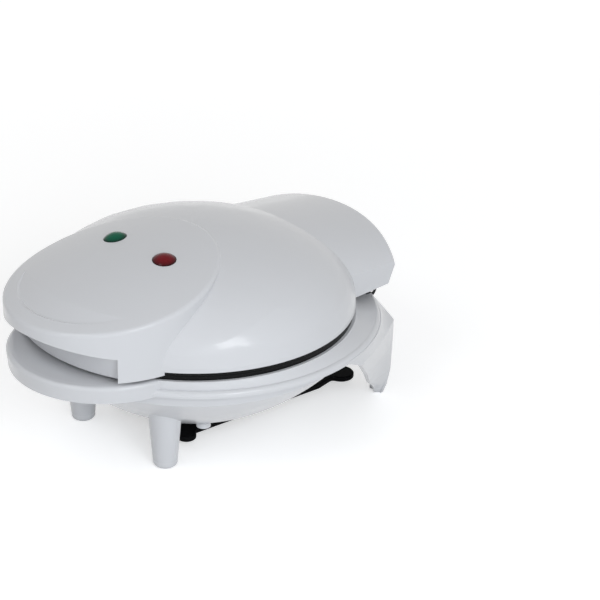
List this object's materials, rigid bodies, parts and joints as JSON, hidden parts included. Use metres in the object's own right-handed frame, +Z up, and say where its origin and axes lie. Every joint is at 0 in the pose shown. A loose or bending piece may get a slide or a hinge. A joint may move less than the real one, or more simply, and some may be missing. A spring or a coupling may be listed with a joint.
{
  "type": "mini pizza maker",
  "caption": "Round table-top pizza maker with a domed hinged lid, overhanging oval handle, indicator lights and a cord wrap under the base.",
  "frame": {"origin": "on the table, under the middle of the closed appliance's bounding box", "axes": "+Z up, -Y towards the handle, +Y towards the hinge, +X to the right of someone facing the handle"},
  "size_m": [0.243, 0.296, 0.145],
  "materials": {
    "white_plastic": "gloss moulded shell",
    "black_coated_casting": "satin black non-stick coating on cast aluminium",
    "black_plastic": "fine matt moulded",
    "screw_steel": "zinc plated",
    "pin_steel": "bright ground",
    "element_sheath": "oxidised tube",
    "sheet_steel": "pressed sheet",
    "sheet_aluminium": "mill finish",
    "thermostat_body": "phenolic",
    "fuse_sleeve": "glass fibre sleeve",
    "block_plastic": "moulded",
    "wire_sleeve": "woven glass sleeve",
    "green_lens": "polished translucent",
    "red_lens": "polished translucent",
    "lamp_glass": "clear",
    "plug_rubber": "silicone"
  },
  "bodies": {
    "base": {"base_shell": "white_plastic", "lower_plate": "black_coated_casting", "lower_plate_screws": "screw_steel", "hinge_pin": "pin_steel", "cord_wrap": "black_plastic", "cord_wrap_screws": "screw_steel", "lower_element": "element_sheath", "lower_element_clips": "sheet_steel", "lower_shield": "sheet_aluminium", "lower_shield_screws": "screw_steel", "thermostat": "thermostat_body", "thermal_fuse": "fuse_sleeve", "terminal_block": "block_plastic", "cord_gland": "black_plastic", "base_wires": "wire_sleeve"},
    "lid": {"lid_shell": "white_plastic", "upper_plate": "black_coated_casting", "upper_plate_screws": "screw_steel", "upper_element": "element_sheath", "upper_element_clips": "sheet_steel", "upper_shield": "sheet_aluminium", "upper_shield_screws": "screw_steel", "green_lens": "green_lens", "red_lens": "red_lens", "neon_lamps": "lamp_glass", "lamp_plugs": "plug_rubber", "lid_wires": "wire_sleeve"}
  },
  "joints": [
    {"name": "lid_hinge", "type": "hinge", "parent": "base", "child": "lid", "pos_m": [0, 0.1195, 0.077], "axis": [-1, 0, 0], "range_deg": [0, 100]}
  ]
}
